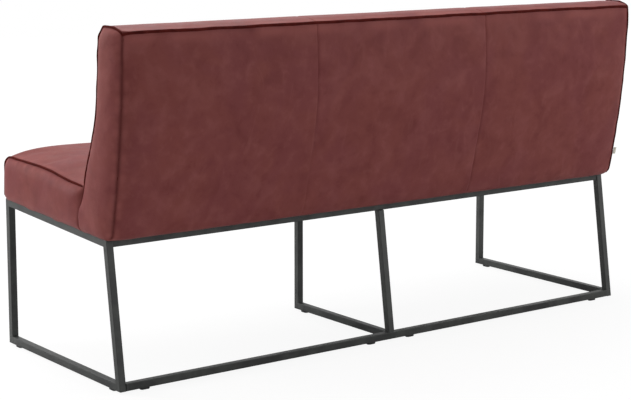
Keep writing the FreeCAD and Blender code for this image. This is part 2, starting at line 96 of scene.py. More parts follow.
class Finish:
    def __init__(self, name, owner=None):
        self.material = owner or bpy.data.materials.new(name)  # the owner may be the world
        self.material.use_nodes = True
        self.tree = self.material.node_tree
        self.tree.nodes.clear()

    def add(self, kind, settings=None, inputs=None, out=0):
        node = self.tree.nodes.new(kind)
        for key, value in (settings or {}).items():
            if key == "stops":  # ramp stops as (place, colour)
                while len(node.color_ramp.elements) < len(value):
                    node.color_ramp.elements.new(1)
                for element, (place, colour) in zip(node.color_ramp.elements, value):
                    element.position = place
                    element.color = (*colour, 1)
            else:
                setattr(node, key, value)
        for key, value in (inputs or {}).items():
            socket = node.inputs[key]
            if isinstance(value, Wire):
                self.tree.links.new(value.socket, socket)
            elif socket.type == "RGBA":
                socket.default_value = (*value, 1)
            else:
                socket.default_value = value
        return Wire(self, node.outputs[out]) if node.outputs else None

    def place(self, scale=(1, 1, 1)):
        spot = self.add("ShaderNodeTexCoord", out="Object")
        return self.add("ShaderNodeMapping", {}, {"Vector": spot, "Scale": scale})

    def shifted(self, spot, shift):
        # the pattern starts elsewhere on each hide
        way = self.add("ShaderNodeCombineXYZ", {}, {0: shift, 1: shift * 0.7, 2: shift * 1.3})
        return self.add("ShaderNodeVectorMath", {"operation": "ADD"}, {0: spot, 1: way})

    def cloud(self, vector, scale, detail=3.0, rough=0.55, warp=0.0):
        return self.add(
            "ShaderNodeTexNoise",
            {},
            {"Vector": vector, "Scale": scale, "Detail": detail, "Roughness": rough, "Distortion": warp},
        )

    def cells(self, vector, scale, smooth):
        return self.add(
            "ShaderNodeTexVoronoi",
            {"feature": "SMOOTH_F1"},
            {"Vector": vector, "Scale": scale, "Smoothness": smooth},
        )

    def bands(self, vector, scale, way, warp, more=None):
        return self.add(
            "ShaderNodeTexWave",
            {"wave_type": "BANDS", "bands_direction": way},
            {"Vector": vector, "Scale": scale, "Distortion": warp, **(more or {})},
        )

    def ramp(self, value, *stops):
        return self.add("ShaderNodeValToRGB", {"stops": stops}, {"Fac": value})

    def span(self, value, low, high, toLow=0.0, toHigh=1.0):
        return self.add(
            "ShaderNodeMapRange",
            {"interpolation_type": "SMOOTHSTEP"},
            {"Value": value, "From Min": low, "From Max": high, "To Min": toLow, "To Max": toHigh},
        )

    def blend(self, factor, first, second):
        return self.add("ShaderNodeMix", {"data_type": "RGBA"}, {0: factor, 6: first, 7: second}, out=2)

    def trait(self, name):
        return self.add("ShaderNodeAttribute", {"attribute_name": name}, out="Fac")

    def bump(self, height, depth, strength=1.0, under=None):
        inputs = {"Height": height, "Distance": depth, "Strength": strength}
        if under:
            inputs["Normal"] = under
        return self.add("ShaderNodeBump", {}, inputs)

    def surface(self, inputs):
        shader = self.add("ShaderNodeBsdfPrincipled", {}, inputs)
        self.add("ShaderNodeOutputMaterial", {}, {"Surface": shader})
        return self.material


def rgb(*screen):
    # written as screen values, used as light
    return tuple(((c / 255 + 0.055) / 1.055) ** 2.4 if c > 10 else c / 255 / 12.92 for c in screen)


# finishes

leatherLook = {
    "body": rgb(124, 67, 65),
    "warm": rgb(129, 71, 65),
    "cool": rgb(119, 63, 66),
    "pale": rgb(142, 85, 82),
    "deep": rgb(106, 52, 51),
    # painted highlight: a paler tone laid beside the rear top welt and the end seams, where the hide turns
    # towards the light
    "rubbed": rgb(146, 84, 80),
    # painted shade: the dark tone laid in the seam grooves, beside the welts and in the crease where seat
    # meets back
    "seam": rgb(66, 18, 17),
    "warmCool": 0.4,  # shares of the tones that lie over the body tone
    "mottle": 0.35,
    "patch": 0.45,
    "streak": 0.3,
    "speck": 0.16,
    # strength of that painted highlight
    "rub": 0.75,
    # strength of that painted shade
    "valley": 0.9,
}


def wineLeather(look):
    f = Finish("wineLeather")
    moved = f.shifted(f.place(), f.trait("hide"))
    broad = f.cloud(moved, 6.0, 4.0, 0.6, 0.6)
    mottle = f.cloud(moved, 15.0, 3.0, 0.5, 0.5)
    patch = f.cloud(moved, 30.0, 5.0, 0.62, 0.15)
    speck = f.cloud(moved, 90.0, 4.0, 0.6)
    streak = f.cloud(f.place((9.0, 9.0, 3.2)), 3.0, 4.0, 0.65, 1.2)
    seam = f.trait("seam")
    warmCool = f.blend(f.span(broad, 0.36, 0.64), look["cool"], look["warm"])
    colour = f.blend(look["warmCool"], look["body"], warmCool)
    colour = f.blend(f.span(mottle, 0.5, 0.72, 0.0, look["mottle"]), colour, look["pale"])
    colour = f.blend(f.span(mottle, 0.5, 0.28, 0.0, look["mottle"]), colour, look["deep"])
    colour = f.blend(f.span(patch, 0.48, 0.78, 0.0, look["patch"]), colour, look["pale"])
    colour = f.blend(f.span(patch, 0.46, 0.24, 0.0, look["patch"]), colour, look["deep"])
    colour = f.blend(f.span(streak, 0.56, 0.74, 0.0, look["streak"]), colour, look["pale"])
    colour = f.blend(f.span(speck, 0.55, 0.75, 0.0, look["speck"]), colour, look["deep"])
    # painted highlight beside the welt and the end seams, broken up in patches
    colour = f.blend(f.trait("rub") * look["rub"], colour, look["rubbed"])
    # painted shade in the seam grooves and the crease
    colour = f.blend(f.span(seam, 0.15, 0.95, 0.0, look["valley"]), colour, look["seam"])
    spot = f.place()
    grain = f.cells(spot, 430.0, 0.5) * 0.7 + f.cloud(spot, 1500.0, 2.0) * 0.2
    creases = f.cloud(f.place((1.0, 1.0, 0.6)), 140.0, 4.0, 0.6, 0.8)
    return f.surface({
        "Base Color": colour,
        "Roughness": 0.5 + f.span(patch, 0.3, 0.75, -0.06, 0.07) + seam * 0.15,
        "Normal": f.bump(grain, 0.0004, 0.55, f.bump(creases, 0.0007, 0.35)),
        "Specular IOR Level": 0.05,
        "Sheen Weight": 0.015,
        "Sheen Roughness": 0.4,
        "Sheen Tint": rgb(235, 178, 180),
    })


def weltLeather():
    f = Finish("weltLeather")
    spot = f.place()
    patch = f.cloud(spot, 40.0, 4.0, 0.6)
    colour = f.blend(f.span(patch, 0.3, 0.7), rgb(66, 19, 16), rgb(86, 30, 26))
    worn = f.cloud(spot, 160.0, 3.0)
    colour = f.blend(f.span(worn, 0.58, 0.78, 0.0, 0.35), colour, rgb(112, 58, 52))
    return f.surface({
        "Base Color": colour,
        "Roughness": f.span(patch, 0.3, 0.7, 0.66, 0.8),
        "Normal": f.bump(f.cells(spot, 900.0, 0.6), 0.0002, 0.4),
        "Specular IOR Level": 0.025,
    })


def frameCoat():
    f = Finish("frameCoat")
    spot = f.place()
    cloud = f.cloud(spot, 14.0, 5.0, 0.62, 0.3)
    rub = f.cloud(spot, 60.0, 4.0, 0.65)
    colour = f.blend(f.span(cloud, 0.32, 0.7), rgb(50, 51, 51), rgb(70, 72, 70))
    colour = f.blend(f.span(rub, 0.58, 0.8, 0.0, 0.4), colour, rgb(90, 92, 88))
    return f.surface({
        "Base Color": colour,
        "Roughness": f.span(cloud, 0.3, 0.7, 0.4, 0.54) + f.span(rub, 0.5, 0.8, 0.0, 0.08),
        "Metallic": f.span(rub, 0.4, 0.8, 0.0, 0.15),
        "Normal": f.bump(f.cloud(spot, 900.0, 2.0, 0.5), 0.00015, 0.35),
        "Specular IOR Level": 0.3,
    })


def glidePlastic():
    f = Finish("glidePlastic")
    spot = f.place()
    wear = f.cloud(spot, 220.0, 4.0, 0.6)
    return f.surface({
        "Base Color": f.blend(f.span(wear, 0.4, 0.75), rgb(24, 24, 25), rgb(44, 44, 45)),
        "Roughness": f.span(wear, 0.3, 0.7, 0.42, 0.6),
        "Normal": f.bump(f.cloud(spot, 1400.0, 2.0), 0.0001, 0.4),
    })


def plainBoard():
    f = Finish("plainBoard")
    rings = f.bands(f.place((1.0, 6.0, 6.0)), 9.0, "Z", 6.0, {"Detail": 3.0, "Detail Scale": 1.4})
    fibre = f.cloud(f.place((4.0, 160.0, 160.0)), 4.0, 4.0, 0.6)
    stops = (0.1, rgb(168, 128, 84)), (0.55, rgb(196, 158, 110)), (0.95, rgb(214, 180, 134))
    return f.surface({
        "Base Color": f.ramp(rings * 0.6 + fibre * 0.4, *stops),
        "Roughness": f.span(fibre, 0.3, 0.7, 0.6, 0.75),
        "Normal": f.bump(fibre, 0.0004, 0.4),
    })


def zincSteel():
    f = Finish("zincSteel")
    spot = f.place()
    cloud = f.cloud(spot, 90.0, 4.0, 0.6)
    return f.surface({
        "Base Color": f.blend(f.span(cloud, 0.3, 0.7), rgb(148, 150, 152), rgb(188, 190, 190)),
        "Metallic": f.span(cloud, 0.2, 0.5, 0.85, 1.0),
        "Roughness": f.span(cloud, 0.3, 0.7, 0.26, 0.42),
        "Normal": f.bump(f.cloud(spot, 800.0, 2.0), 0.0001, 0.3),
    })


def liningCloth():
    f = Finish("liningCloth")
    fibre = f.cloud(f.place((1.0, 2.4, 1.0)), 420.0, 5.0, 0.7, 1.5)
    dimple = f.add(
        "ShaderNodeTexVoronoi",
        {"feature": "F1"},
        {"Vector": f.place(), "Scale": 330.0, "Randomness": 0.15},
    )
    return f.surface({
        "Base Color": f.blend(f.span(fibre, 0.35, 0.7), rgb(22, 22, 23), rgb(46, 46, 48)),
        "Roughness": f.span(fibre, 0.3, 0.7, 0.82, 0.95),
        "Normal": f.bump(dimple, 0.0003, 0.5, f.bump(fibre, 0.0003, 0.5)),
    })


def tagCloth():
    f = Finish("tagCloth")
    spot = f.place()
    weave = f.bands(spot, 560.0, "Z", 0.6) * 0.5 + f.bands(spot, 560.0, "X", 0.6) * 0.5
    soil = f.cloud(spot, 130.0, 3.0)
    colour = f.blend(f.span(soil, 0.35, 0.7), rgb(226, 221, 208), rgb(206, 200, 186))
    colour = f.blend(f.span(weave, 0.5, 0.15, 0.0, 0.35), colour, rgb(176, 170, 156))
    return f.surface({
        "Base Color": colour,
        "Roughness": f.span(weave, 0.0, 1.0, 0.88, 0.74),
        "Normal": f.bump(weave, 0.00025, 0.6),
    })


leather = wineLeather(leatherLook)
weltSkin = weltLeather()
coat = frameCoat()
plastic = glidePlastic()
board = plainBoard()
zinc = zincSteel()
liningSkin = liningCloth()
tagSkin = tagCloth()


def finishFor(name):
    if "glide" in name:
        return plastic
    if name in ("seat_bolts", "seat_tee_nuts", "back_brackets", "bracket_screws"):
        return zinc
    if "rib" in name or "board" in name or name == "back_top_rail":
        return board
    if name == "seat_lining":
        return liningSkin
    if "welt" in name:
        return weltSkin
    if "cover" in name or "panel" in name or "foam" in name or "pad" in name:
        return leather
    return tagSkin if name == "side_tag" else coat


for name, node in nodes.items():
    node.data.materials.clear()
    node.data.materials.append(finishFor(name))
print("finishes on the frame")

# upholstery, in metres, side view as (y, z, corner radius), running from the foot along the underside

bench = {
    "endSeam": 0.818,  # place of the end seams along the bench
    "crossSeam": 0.275,
    "crossReach": 0.05,  # how far a cross seam draws the padding in
    "crownReach": 0.016,  # how deep a face's crown goes into the padding
    "firmReach": 0.035,  # how far below a firm top the front's crown fades in
    "endCrown": 0.015,
    "endStep": (0.006, 0.005),  # where the end's crown starts before the seam, and its rise
    "footRoll": (0.018, 0.6),  # the ends tuck in towards the rails: height, share
    "fullerAt": (0.64, 0.14),  # height and spread of the fuller rear
    "creaseFoot": (0.396, 0.06),  # height where the roll in towards the back starts, and its rise
    "voxel": 0.007,
    "thick": 0.0024,
    "rimAngle": 55,  # the cut edges of the hide stay sharp
    "fill": 0.9,
}
seatShape = {
    "name": "seat",
    "corners": [
        (-0.3020, 0.3842, 0.014),
        (0.1104, 0.3625, 0),
        (0.1143, 0.4710, 0),
        (0.0350, 0.4760, 0.6),
        (-0.0650, 0.4905, 0.6),
        (-0.2962, 0.4962, 0.032),
    ],
    "faces": ["under", "contact", "top", "top", "top", "front"],
    "crowns": {"top": 0.013, "front": 0.003},
    "rolled": {"top": 0.032, "front": 0.045},  # width of the roll at each edge of the end
    "contactPull": (0.85, 0.03),  # share and width of the roll in towards the back
    "shoulder": 0.15,
    "drawn": 0.2,
    "bulge": 0,
    "seamDepth": 0.0024,
    # width of the painted shade beside the end seams
    "rimShade": 0.0052,
    "swell": 0.005,
    "firmTop": 0,
    "hide": 5.3,
    "endHide": 11.1,
}
backShape = {
    "name": "back",
    "corners": [
        (0.1066, 0.3627, 0),
        (0.2422, 0.3556, 0.026),
        (0.2939, 0.6062, 2.0),
        (0.3044, 0.8438, 0.008),
        (0.2740, 0.8556, 0.06),
        (0.2190, 0.8564, 0.011),
        (0.1983, 0.8300, 0.03),
        (0.1812, 0.6431, 0.26),
        (0.1143, 0.4725, 0),
    ],
    "faces": ["under", "rear", "rear", "top", "top", "front", "front", "front", "contact"],
    "crowns": {"rear": 0.003, "front": 0.008},
    "rolled": {"rear": 0.05, "top": 0.018, "front": 0.05},
    "contactPull": (0.75, 0.055),
    "shoulder": 0.07,
    "drawn": 0.08,
    "bulge": 0.014,  # the rear panels stand fuller at mid height
    "seamDepth": 0.0015,
    # width of the painted shade beside the end seams
    "rimShade": 0.0068,
    "swell": 0.0025,
    "firmTop": 0.9,  # the top edge stays level
    "hide": 0,
    "endHide": 8.1,
}
farAway = 9.0  # metres, past anything on the bench


def coords(mesh):
    flat = np.empty(len(mesh.vertices) * 3)
    mesh.vertices.foreach_get("co", flat)
    return flat.reshape(-1, 3)


def setCoords(mesh, spots):
    mesh.vertices.foreach_set("co", np.ascontiguousarray(spots, dtype=np.float32).ravel())
    mesh.update()


def normalsOf(mesh):
    flat = np.empty(len(mesh.vertices) * 3, dtype=np.float32)
    mesh.vertex_normals.foreach_get("vector", flat)
    return flat.reshape(-1, 3).astype(float)


def toObject(name, bm):
    mesh = bpy.data.meshes.new(name)
    bm.to_mesh(mesh)
    bm.free()
    piece = bpy.data.objects.new(name, mesh)
    scene.collection.objects.link(piece)
    return piece


def settled(piece):
    # mesh with the piece's modifiers worked in
    bpy.context.view_layer.update()
    mesh = bpy.data.meshes.new_from_object(piece.evaluated_get(bpy.context.evaluated_depsgraph_get()))
    piece.modifiers.clear()
    old = piece.data
    piece.data = mesh
    bpy.data.meshes.remove(old)
    return mesh


def addTrait(mesh, name, values):
    trait = mesh.attributes.new(name, "FLOAT", "POINT")
    trait.data.foreach_set("value", values.astype(np.float32))


def sideFace(bm, shape, x):
    # side view as one face with its corners rounded
    spots = [Vector((x, y, z)) for y, z, r in shape["corners"]]
    verts = [bm.verts.new(p) for p in spots]
    bm.faces.new(verts)
    for i, vert in enumerate(verts):
        radius = shape["corners"][i][2]
        if radius:
            toLast = (spots[i - 1] - spots[i]).normalized()
            toNext = (spots[(i + 1) % len(spots)] - spots[i]).normalized()
            run = radius / math.tan(toLast.angle(toNext) / 2)
            bmesh.ops.bevel(
                bm, geom=[vert], affect="VERTICES", offset=run, segments=10, profile=0.5, material=-1
            )
    return bm.faces[:][0]


def segmentGaps(points, start, way):
    rel = points[:, None, :] - start[None, :, :]
    along = np.clip(np.sum(rel * way, axis=2) / np.sum(way * way, axis=1), 0, 1)
    gap = np.linalg.norm(rel - along[:, :, None] * way, axis=2)
    return gap, along


class Outline:
    # the rounded side view, for distances, outward directions and which face of the upholstery is near
    def __init__(self, shape):
        bm = bmesh.new()
        face = sideFace(bm, shape, 0)
        loop = np.array([(v.co.y, v.co.z) for v in face.verts])
        bm.free()
        ends = np.roll(loop, -1, axis=0)
        turn = np.sum(loop[:, 0] * ends[:, 1] - loop[:, 1] * ends[:, 0])
        if turn < 0:
            loop = loop[::-1]
            ends = np.roll(loop, -1, axis=0)
        self.start = loop
        self.way = ends - loop
        length = np.linalg.norm(self.way, axis=1, keepdims=True)
        self.length = length[:, 0]
        unit = self.way / length
        self.out = np.stack([unit[:, 1], -unit[:, 0]], axis=1)
        square = np.array([(y, z) for y, z, r in shape["corners"]])
        middle = loop + self.way / 2
        gaps = segmentGaps(middle, square, np.roll(square, -1, axis=0) - square)[0]
        self.labels = [shape["faces"][i] for i in gaps.argmin(axis=1)]

    def measure(self, spots):
        # gaps to each stretch of the outline, to each face, and the nearest point on it
        gaps, along = segmentGaps(spots[:, 1:], self.start, self.way)
        near = gaps.argmin(axis=1)
        nearest = self.start[near] + self.way[near] * along[np.arange(len(spots)), near][:, None]
        return gaps, self.faceGaps(gaps), nearest

    def ownGaps(self, gaps, label):
        keep = np.array([own == label for own in self.labels])
        return np.where(keep, gaps, farAway)

    def faceGaps(self, gaps):
        return {label: self.ownGaps(gaps, label).min(axis=1) for label in set(self.labels)}


def ease(t):
    t = np.clip(t, 0, 1)
    return t * t * (3 - 2 * t)


def hump(gap, width):
    return np.exp(-(gap / width) ** 2)


dice = np.random.default_rng(11)  # seeded, so each run gives the same folds
shuffle = np.tile(dice.permutation(256), 4)
slopes = dice.normal(size=(256, 3))
slopes /= np.linalg.norm(slopes, axis=1, keepdims=True)


def noiseAt(points, scale, shift):
    spot = points * scale + np.array((shift, shift * 0.37, -shift * 0.81))
    cell = np.floor(spot).astype(int)
    part = spot - cell
    fade = part ** 3 * (part * (part * 6 - 15) + 10)
    cell &= 255
    total = np.zeros(len(points))
    for corner in np.ndindex(2, 2, 2):
        at = cell + corner
        slope = slopes[shuffle[shuffle[shuffle[at[:, 0]] + at[:, 1]] + at[:, 2]] & 255]
        weight = np.prod(np.where(corner, fade, 1 - fade), axis=1)
        total += weight * np.sum(slope * (part - corner), axis=1)
    return total * 1.4


def fullness(x, shape):
    # share of the crown: none at the end seams, drawn in at the cross seams
    rise = np.clip((bench["endSeam"] - np.abs(x)) / shape["shoulder"], 0, 1)
    drawn = shape["drawn"] * np.exp(-np.abs(np.abs(x) - bench["crossSeam"]) / bench["crossReach"])
    return (1 - (1 - rise) ** 3.2) * (1 - drawn)


def crownMoves(spots, shape, outline):
    gaps, faceGaps, nearest = outline.measure(spots)
    full = fullness(spots[:, 0], shape)
    moves = np.zeros_like(spots)
    for label, crown in shape["crowns"].items():
        nearOwn = outline.ownGaps(gaps, label).argmin(axis=1)
        rise = np.full(len(spots), crown)
        if label == "rear":
            height, spread = bench["fullerAt"]
            rise += shape["bulge"] * hump(spots[:, 2] - height, spread)
        if label == "front":
            rise *= 1 - shape["firmTop"] * hump(faceGaps["top"], bench["firmReach"])
        weight = full * rise * hump(faceGaps[label], bench["crownReach"])
        moves[:, 1:] += weight[:, None] * outline.out[nearOwn]
    # the ends are full in their middle and roll in at the seams, at the crease and at the foot
    full = np.ones(len(spots))
    for label, width in shape["rolled"].items():
        full *= (1 - (1 - np.clip(faceGaps[label] / width, 0, 1)) ** 2) ** 0.85
    pull, width = shape["contactPull"]
    low, rise = bench["creaseFoot"]
    pull = pull * ease((spots[:, 2] - low) / rise)
    full *= 1 - pull * (1 - np.clip(faceGaps["contact"] / width, 0, 1)) ** 2
    before, rise = bench["endStep"]
    cap = ease((np.abs(spots[:, 0]) - bench["endSeam"] + before) / rise)
    height, share = bench["footRoll"]
    cap *= 1 - share * (1 - np.clip(faceGaps["under"] / height, 0, 1)) ** 2
    moves[:, 0] += np.sign(spots[:, 0]) * cap * bench["endCrown"] * full
    return moves


def heldSeams(spots, outline):
    # closeness to anything that is sewn or stapled down, in metres
    gaps, faceGaps, nearest = outline.measure(spots)
    toEnd = np.abs(np.abs(spots[:, 0]) - bench["endSeam"])
    held = np.hypot(toEnd, gaps.min(axis=1))
    held = np.minimum(held, faceGaps["under"])
    held = np.minimum(held, faceGaps["contact"])
    if "rear" in faceGaps:
        held = np.minimum(held, np.hypot(faceGaps["rear"], faceGaps["top"]))
    return held


puffLook = {
    "steps": 16,
    "heldWithin": 0.0055,
    "firmWithin": 0.03,
    "cloth": {
        "quality": 3,
        "mass": 0.3,
        "tension_stiffness": 18,
        "compression_stiffness": 18,
        "shear_stiffness": 8,
        "bending_stiffness": 12,
        "air_damping": 2,
        "use_pressure": True,
        "uniform_pressure_force": 4,
        "shrink_min": 0,
        "vertex_group_mass": "held",
    },
}


def puff(piece, shape, outline):
    # cloth under light air pressure, held at its seams, then capped
    before = coords(piece.data)
    held = heldSeams(before, outline)
    pins = piece.vertex_groups.new(name="held")
    pins.add([int(i) for i in np.nonzero(held < puffLook["heldWithin"])[0]], 1.0, "REPLACE")
    cloth = piece.modifiers.new("cloth", "CLOTH")
    for key, value in puffLook["cloth"].items():
        setattr(cloth.settings, key, value)
    cloth.settings.effector_weights.gravity = 0
    cloth.collision_settings.use_collision = False
    for step in range(1, puffLook["steps"] + 1):
        scene.frame_set(step)
    mesh = settled(piece)
    scene.frame_set(1)
    move = coords(mesh) - before
    size = np.linalg.norm(move, axis=1, keepdims=True)
    firm = shape["firmTop"] * hump(outline.measure(before)[1]["top"], puffLook["firmWithin"])
    cap = (shape["swell"] * (1 - firm))[:, None]
    move *= cap * np.tanh(size / cap) / np.maximum(size, 1e-9)
    setCoords(mesh, before + move)
    print(shape["name"], "puffed, widest move", round(float(size.max()) * 1000, 1), "mm")


def squared(spots, outline):
    # the even mesh blunts the edges, so its skin goes back onto the side view and the end planes
    step = bench["voxel"]
    gaps, faceGaps, nearest = outline.measure(spots)
    toSide = gaps.min(axis=1)
    toEnd = bench["endSeam"] - np.abs(spots[:, 0])
    blunt = (np.maximum(toSide, toEnd) < step) & (np.minimum(toSide, toEnd) > 0.06 * step)
    around = (toSide < 0.5 * step) | blunt
    spots[around, 1:] = nearest[around]
    atEnd = (toEnd < 0.5 * step) | blunt
    spots[atEnd, 0] = np.sign(spots[atEnd, 0]) * bench["endSeam"]
    return spots


def softBody(shape, outline):
    bm = bmesh.new()
    face = sideFace(bm, shape, -bench["endSeam"])
    made = bmesh.ops.extrude_face_region(bm, geom=[face])
    moved = [g for g in made["geom"] if isinstance(g, bmesh.types.BMVert)]
    bmesh.ops.translate(bm, verts=moved, vec=(2 * bench["endSeam"], 0, 0))
    bmesh.ops.holes_fill(bm, edges=bm.edges[:], sides=0)
    bmesh.ops.recalc_face_normals(bm, faces=bm.faces[:])
    piece = toObject(shape["name"] + "Body", bm)
    remesh = piece.modifiers.new("even", "REMESH")
    remesh.mode = "VOXEL"
    remesh.voxel_size = bench["voxel"]
    mesh = settled(piece)
    spots = squared(coords(mesh), outline)
    setCoords(mesh, spots + crownMoves(spots, shape, outline))
    puff(piece, shape, outline)
    finer = piece.modifiers.new("finer", "SUBSURF")
    finer.levels = 1
    finer.render_levels = 1
    settled(piece)
    print(shape["name"], "body,", len(piece.data.vertices), "points")
    return piece


seamLook = {
    "crossCuts": (-9, -4.5, -1.8, 0, 1.8, 4.5, 9),  # loops beside each seam, in mm
    "endCuts": (-1.5,),
    "cutReach": 0.02,
    "valley": (0.0032, 0.002, 0.5),  # a cross seam's width, and the width and strength of the painted shade in its groove
    "flatter": (0.42, 0.3, 0.4),  # the back's left seam: from this height, over this rise, to this share
    "rim": (0.0012, 0.008, 0.62),  # an end seam's depth, width and the strength of its painted shade
    "pucker": (0.0011, 0.02),  # depth, reach
    "crossPucker": (0.0006, 0.016),
    "hemPucker": (0.0008, 0.014),
    "ridge": (0.0018, 0.014),  # the rear top seam
    # painted shade along the rear top seam: strength, width
    "ridgeShade": (0.75, 0.005),
    "ridgeHighlight": (0.014, 0.013),  # painted highlight, a paler band beside the welt: place, width
    # painted highlight beside the end seams: place, width, strength
    "rimRub": (0.011, 0.007, 0.8),
    "endLift": (0.004, 0.022, 0.02),  # the rear corner of the top stands up at the ends
    "crease": (0.004, 0.0035, 0.9),  # where seat meets back: depth, width, and strength of the painted shade in the crease
    "creaseFoot": (0.412, 0.055),
}


def cutSeams(bm):
    # loops along the seams, so that panels part cleanly and the seam valley is crisp
    cuts = ((bench["crossSeam"], seamLook["crossCuts"]), (bench["endSeam"], seamLook["endCuts"]))
    for side in (-1, 1):
        for place, steps in cuts:
            reach = seamLook["cutReach"]
            faces = [f for f in bm.faces if abs(f.calc_center_median().x - side * place) < reach]
            geom = list(faces)
            geom += {e for f in faces for e in f.edges}
            geom += {v for f in faces for v in f.verts}
            for step in steps:
                spot = (side * (place + step / 1000), 0, 0)
                cut = bmesh.ops.bisect_plane(bm, geom=geom, dist=1e-6, plane_co=spot, plane_no=(1, 0, 0))
                geom = cut["geom"]


def shapeSeams(mesh, shape, outline):
    spots = coords(mesh)
    normals = normalsOf(mesh)
    x, z = spots[:, 0], spots[:, 2]
    level = np.zeros(len(spots))
    gaps, faceGaps, nearest = outline.measure(spots)
    toEnd = np.abs(np.abs(x) - bench["endSeam"])
    rim = np.hypot(toEnd, np.min([faceGaps[label] for label in shape["rolled"]], axis=0))
    cross = np.abs(np.abs(x) - bench["crossSeam"])
    skin = (faceGaps["under"] > 0.004) & (np.abs(x) < bench["endSeam"] - 0.01)
    isBack = "rear" in faceGaps

    fade = np.ones(len(spots))
    if isBack:
        low, rise, share = seamLook["flatter"]
        fade = np.where(x > 0, share + (1 - share) * ease((z - low) / rise), 1.0)
    width, shadeWidth, tint = seamLook["valley"]
    sink = np.where(skin, shape["seamDepth"] * fade * hump(cross, width), 0)
    # painted shade in the cross seam's groove
    seam = np.where(skin, tint * fade * hump(cross, shadeWidth), 0)

    # puckers along the seams and the hem, and soft unevenness between them
    onRim = np.column_stack([np.sign(x), nearest])
    pucker = noiseAt(onRim, 34.0, 3.1) + 0.6 * noiseAt(onRim, 71.0, 8.7)
    depth, reach = seamLook["pucker"]
    sink += depth * np.exp(-rim / reach) * pucker
    onCross = np.column_stack([np.sign(x), spots[:, 1:]])
    depth, reach = seamLook["crossPucker"]
    sink += depth * np.exp(-cross / reach) * noiseAt(onCross, 40.0, 5.5)
    hem = np.column_stack([spots[:, :2], level])
    depth, reach = seamLook["hemPucker"]
    sink += depth * np.exp(-faceGaps["under"] / reach) * noiseAt(hem, 36.0, 4.4)
    uneven = noiseAt(spots, 4.2, 1.7) * 0.0016 + noiseAt(spots, 10.0, 6.1) * 0.0007
    sink += uneven * ease(rim / 0.05) * ease(cross / 0.03) * ease(faceGaps["under"] / 0.05)

    rub = level
    lift = level
    if isBack:
        ridge = np.hypot(faceGaps["rear"], faceGaps["top"])
        along = np.column_stack([x, level, level])
        wave = 0.003 * noiseAt(along, 9.0, 7.3) + 0.002 * noiseAt(along, 30.0, 2.2)
        depth, reach = seamLook["ridge"]
        sink += np.exp(-ridge / reach) * (depth + wave)
        height, reach, width = seamLook["endLift"]
        lift = height * hump(toEnd, reach) * hump(ridge, width)
        # painted highlight: a paler band beside the rear top welt
        place, width = seamLook["ridgeHighlight"]
        rub = hump(ridge - place, width) * ease(0.55 + noiseAt(along, 12.0, 9.2))
        tint, width = seamLook["ridgeShade"]
        # painted shade along the rear top welt
        seam = np.maximum(seam, tint * hump(ridge, width))

    depth, width, tint = seamLook["rim"]
    sink += depth * np.exp(-rim / width)
    # painted shade beside the end seams
    seam = np.maximum(seam, tint * hump(rim, shape["rimShade"]))
    # painted highlight: a paler band beside the end seams
    place, width, share = seamLook["rimRub"]
    rub = np.maximum(rub, share * hump(rim - place, width) * ease(0.45 + pucker))

    depth, width, tint = seamLook["crease"]
    low, rise = seamLook["creaseFoot"]
    crease = hump(faceGaps["contact"], width) * ease((z - low) / rise)
    onEnd = np.abs(x) > bench["endSeam"] - 0.002
    # painted shade in the crease where seat meets back
    seam = np.where(onEnd, np.maximum(seam, tint * crease), seam)
    moved = spots - normals * sink[:, None]
    moved[:, 0] -= np.where(onEnd, np.sign(x) * depth * crease, 0)  # drawn straight in
    moved[:, 2] += lift
    setCoords(mesh, moved)
    addTrait(mesh, "seam", seam)
    addTrait(mesh, "rub", rub)


def panel(name, body, keep, hide, replaced):
    # one cover panel: the body's faces that it keeps, with the thickness of the hide
    bm = bmesh.new()
    bm.from_mesh(body.data)
    bm.faces.ensure_lookup_table()
    drop = [bm.faces[int(i)] for i in np.nonzero(~keep)[0]]
    bmesh.ops.delete(bm, geom=drop, context="FACES")
    for face in bm.faces:
        face.smooth = True
    piece = toObject(name, bm)
    shell = piece.modifiers.new("hide", "SOLIDIFY")
    shell.thickness = bench["thick"]
    shell.offset = -1
    settled(piece)
    piece.data.set_sharp_from_angle(angle=math.radians(bench["rimAngle"]))
    addTrait(piece.data, "hide", np.full(len(piece.data.vertices), hide))
    piece.data.materials.clear()
    piece.data.materials.append(leather)
    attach(piece, "root")
    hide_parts(*replaced)


fillings = {"seat_cover": "seat_foam", "back_rear_cover": "back_rear_pad", "back_front_cover": "back_foam"}


